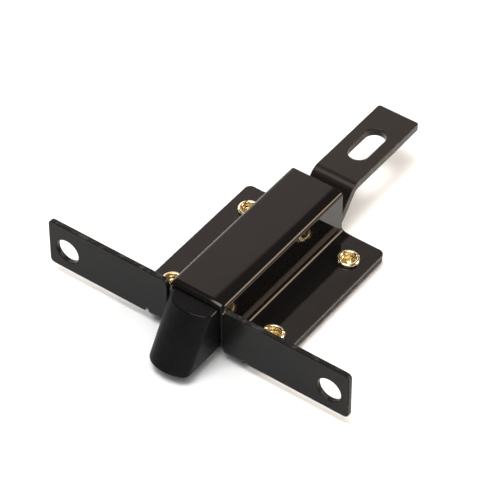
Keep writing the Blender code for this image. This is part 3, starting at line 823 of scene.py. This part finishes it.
def make_bolt():
    """Level sections lofted from bottom to top, then cut for the strap and the spring."""
    bm = bmesh.new()
    rings = [[bm.verts.new(p) for p in bolt_section(*level)] for level in bolt_levels()]
    for low, high in zip(rings, rings[1:]):
        for i in range(len(low)):
            j = (i + 1) % len(low)
            bm.faces.new((low[i], low[j], high[j], high[i]))
    bm.faces.new(rings[0][::-1])
    bm.faces.new(rings[-1])
    bmesh.ops.recalc_face_normals(bm, faces=bm.faces)
    piece = mesh_object(bm, "bolt_skin")
    step = bmesh.new()
    length = BOLT_REAR_Y
    middle = Vector((0, STEP_Y + length / 2, STEP_Z - 5))
    size = Matrix.Diagonal((2 * BOLT_WIDTH, length, 10, 1))
    bmesh.ops.create_cube(step, size=1.0, matrix=Matrix.Translation(middle) @ size)
    depth = BOLT_REAR_Y - POCKET_FLOOR_Y + 1
    bore = turned([(0, 0), (POCKET_RADIUS, 0), (POCKET_RADIUS, depth), (0, depth)], 64)
    axis_z = from_datum((GUIDE_LOW + GUIDE_HIGH) / 2).z
    pocket = round_object(bore, "pocket_cutter", (0, POCKET_FLOOR_Y, axis_z), along_y=True)
    cut_away(piece, [mesh_object(step, "step_cutter"), pocket])
    piece.data.set_sharp_from_angle(angle=BOLT_SHARP_ANGLE)
    add_piece(piece, MATERIALS["bolt_nylon"], SLIDER_BODY, "bolt")


# ---- tail strap ----

def make_tail_strap():
    tangent = STRAP_BEND_RADIUS * math.tan(STRAP_SLOPE / 2)
    bend = STRAP_BEND_RADIUS * STRAP_SLOPE
    ramp = (STRAP_HIGH_Z - STRAP_LOW_Z) / math.sin(STRAP_SLOPE) - 2 * tangent
    low_run = STRAP_LOW_BEND_Y - tangent - STRAP_FRONT_Y
    high_start = low_run + 2 * bend + ramp
    high_y = STRAP_LOW_BEND_Y + tangent
    high_y += (STRAP_HIGH_Z - STRAP_LOW_Z) / math.tan(STRAP_SLOPE)
    section = [(low_run, 0), (bend, STRAP_SLOPE), (ramp, 0), (bend, -STRAP_SLOPE),
               (STRAP_END_Y, 0)]

    def at_high(y):
        return high_start + y - high_y

    half = [
        (STRAP_WIDTH / 2, 0, 0.5),
        (STRAP_WIDTH / 2, at_high(STRAP_END_Y), STRAP_CORNER),
    ]
    stop_slot = obround((STOP_SLOT_FRONT_Y + STOP_SLOT_REAR_Y) / 2 - STRAP_FRONT_Y,
                        STOP_SLOT_REAR_Y - STOP_SLOT_FRONT_Y, 2 * STOP_SLOT_RADIUS)
    pull_slot = obround(at_high(PULL_SLOT_Y), PULL_SLOT_LENGTH, PULL_SLOT_WIDTH)
    bm = blank(rounded(mirrored(half)), [stop_slot, pull_slot], STRAP_SHEET, STRAP_EDGE)
    score(bm, bend_levels(section), (0, 1, 0))

    def place(across, along, offset):
        run, rise = section_point(section, along, offset + STRAP_SHEET / 2)
        return across, STRAP_FRONT_Y + run, STRAP_LOW_Z + rise

    fold(bm, place)
    piece = sheet_object(bm, "tail_strap_skin")
    add_piece(piece, MATERIALS["strap_paint"], SLIDER_BODY, "tail_strap")


# ---- return spring ----

def make_spring():
    """Round wire on a helix along Y, its end turns closed up. It is built at one length and
    doesn't shorten as the bolt slides.
    """
    low = from_datum(SPRING_LOW)
    high = from_datum(SPRING_HIGH)
    start = low.y + SPRING_WIRE_RADIUS
    end = high.y - SPRING_WIRE_RADIUS
    axis_z = from_datum((GUIDE_LOW + GUIDE_HIGH) / 2).z
    closed_pitch = 2 * SPRING_WIRE_RADIUS + 0.15
    open_turns = SPRING_TURNS - 2 * SPRING_CLOSED_TURNS
    open_pitch = (end - start - 2 * SPRING_CLOSED_TURNS * closed_pitch) / open_turns
    steps = 40 * SPRING_TURNS
    sides = 12
    bm = bmesh.new()
    rings = []
    for i in range(steps + 1):
        turn = SPRING_TURNS * i / steps
        closed = min(turn, SPRING_CLOSED_TURNS)
        closed += max(0, turn - SPRING_TURNS + SPRING_CLOSED_TURNS)
        y = start + closed * closed_pitch + (turn - closed) * open_pitch
        angle = 2 * math.pi * turn
        out = Vector((math.cos(angle), 0, math.sin(angle)))
        centre = out * SPRING_RADIUS + Vector((0, y, axis_z))
        rings.append([bm.verts.new(centre + SPRING_WIRE_RADIUS * (
            out * math.cos(2 * math.pi * k / sides)
            + Vector((0, math.sin(2 * math.pi * k / sides), 0)))) for k in range(sides)])
    for near, far in zip(rings, rings[1:]):
        for k in range(sides):
            m = (k + 1) % sides
            bm.faces.new((near[k], near[m], far[m], far[k]))
    bm.faces.new(rings[0][::-1])
    bm.faces.new(rings[-1])
    bmesh.ops.recalc_face_normals(bm, faces=bm.faces)
    piece = mesh_object(bm, "return_spring_skin")
    piece.data.set_sharp_from_angle(angle=WIRE_SHARP_ANGLE)
    add_piece(piece, MATERIALS["spring_steel"], FRAME_BODY, "return_spring")
    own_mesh(piece)


def dress_hidden_pieces():
    """The small pieces inside the case keep their CAD shapes and get finished metal."""
    for node in ("strap_pin_1", "strap_pin_2", "stop_stud", "spring_guide_pin"):
        dress(node, "pin_zinc")
    dress("spring_seat", "seat_zinc")


def dress(node, slot):
    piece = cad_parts[node]
    piece.data.materials.clear()
    piece.data.materials.append(MATERIALS[slot])


# ---- floor, light and camera ----

FLOOR_HALF = 4.0
FLOOR_TONE = 0.97
FILL_SIZE = 2.6
FILL_POWER = 20.0
FILL_HEIGHT = 1.5


def make_floor():
    floor_z = min(RIVET_LOW.z, STUD_LOW.z, BRACKET_LOW.z) * MM
    bm = bmesh.new()
    bmesh.ops.create_grid(bm, x_segments=1, y_segments=1, size=FLOOR_HALF)
    mesh = bpy.data.meshes.new("floor")
    bm.to_mesh(mesh)
    bm.free()
    floor = bpy.data.objects.new("floor", mesh)
    floor.location.z = floor_z
    bpy.context.collection.objects.link(floor)
    shader = Shader("floor_look", Roughness=0.9)
    shader.surface.inputs["Base Color"].default_value = (FLOOR_TONE, FLOOR_TONE, FLOOR_TONE, 1)
    mesh.materials.append(shader.material)


def make_sky(base, patches):
    """A studio of soft patches: each (direction, inner angle, outer angle, colour, strength)."""
    world = bpy.data.worlds.new("studio")
    bpy.context.scene.world = world
    world.use_nodes = True
    nodes = world.node_tree.nodes
    links = world.node_tree.links
    direction = nodes.new("ShaderNodeTexCoord").outputs["Generated"]
    total = None
    for towards, inner, outer, colour, strength in patches:
        dot = nodes.new("ShaderNodeVectorMath")
        dot.operation = "DOT_PRODUCT"
        dot.inputs[1].default_value = Vector(towards).normalized()
        links.new(direction, dot.inputs[0])
        fade = nodes.new("ShaderNodeMapRange")
        fade.interpolation_type = "SMOOTHSTEP"
        fade.inputs["From Min"].default_value = math.cos(math.radians(outer))
        fade.inputs["From Max"].default_value = math.cos(math.radians(inner))
        links.new(dot.outputs["Value"], fade.inputs["Value"])
        tint = nodes.new("ShaderNodeVectorMath")
        tint.operation = "SCALE"
        tint.inputs[0].default_value = [c * strength for c in colour]
        links.new(fade.outputs["Result"], tint.inputs["Scale"])
        add = nodes.new("ShaderNodeVectorMath")
        add.operation = "ADD"
        links.new(tint.outputs[0], add.inputs[0])
        if total:
            links.new(total, add.inputs[1])
        else:
            add.inputs[1].default_value = base
        total = add.outputs[0]
    links.new(total, nodes["Background"].inputs["Color"])


def make_fill_light():
    """A wide overhead light that whitens the floor and isn't mirrored in the paint."""
    light = bpy.data.lights.new("overhead_fill", "AREA")
    light.shape = "DISK"
    light.size = FILL_SIZE
    light.energy = FILL_POWER
    fill = bpy.data.objects.new("overhead_fill", light)
    fill.location = (0, 0, FILL_HEIGHT)
    fill.visible_glossy = False
    bpy.context.collection.objects.link(fill)


CAMERA_AZIMUTH = math.radians(36.21)
CAMERA_ELEVATION = math.radians(44.37)
CAMERA_DISTANCE = 926.9
CAMERA_AIM = Vector((2.99, 26.40, 19.97))
CAMERA_FOCAL = 206.1
SENSOR = 36.0


def make_camera():
    camera = bpy.data.cameras.new("camera")
    camera.lens = CAMERA_FOCAL
    camera.sensor_width = SENSOR
    camera.clip_end = 20
    body = bpy.data.objects.new("camera", camera)
    level = math.cos(CAMERA_ELEVATION)
    back = Vector((math.sin(CAMERA_AZIMUTH) * level, -math.cos(CAMERA_AZIMUTH) * level,
                   math.sin(CAMERA_ELEVATION)))
    body.location = (CAMERA_AIM + back * CAMERA_DISTANCE + DATUM) * MM
    body.rotation_euler = (math.pi / 2 - CAMERA_ELEVATION, 0, CAMERA_AZIMUTH)
    bpy.context.collection.objects.link(body)
    bpy.context.scene.camera = body


SKY = [
    ((-0.62, 0.58, 0.53), 10, 22, (1.0, 0.93, 0.89), 1.5),
    ((-0.90, 0.35, 0.05), 14, 34, (1.0, 0.99, 0.98), 1.9),
    ((0.65, 0.577, 0.49), 8, 16, (1.0, 0.84, 0.66), 12.5),
    ((0.45, -0.80, 0.45), 12, 34, (1.0, 1.0, 1.0), 0.5),
    ((-0.12, -0.13, 0.98), 6, 20, (1.0, 1.0, 1.0), 9.0),
]
SKY_BASE = (0.12, 0.115, 0.11)


make_bracket()
make_case()
make_rivets()
make_bolt()
make_tail_strap()
make_spring()
dress_hidden_pieces()
make_floor()
make_sky(SKY_BASE, SKY)
make_fill_light()
make_camera()
bpy.context.scene.view_settings.view_transform = "Standard"
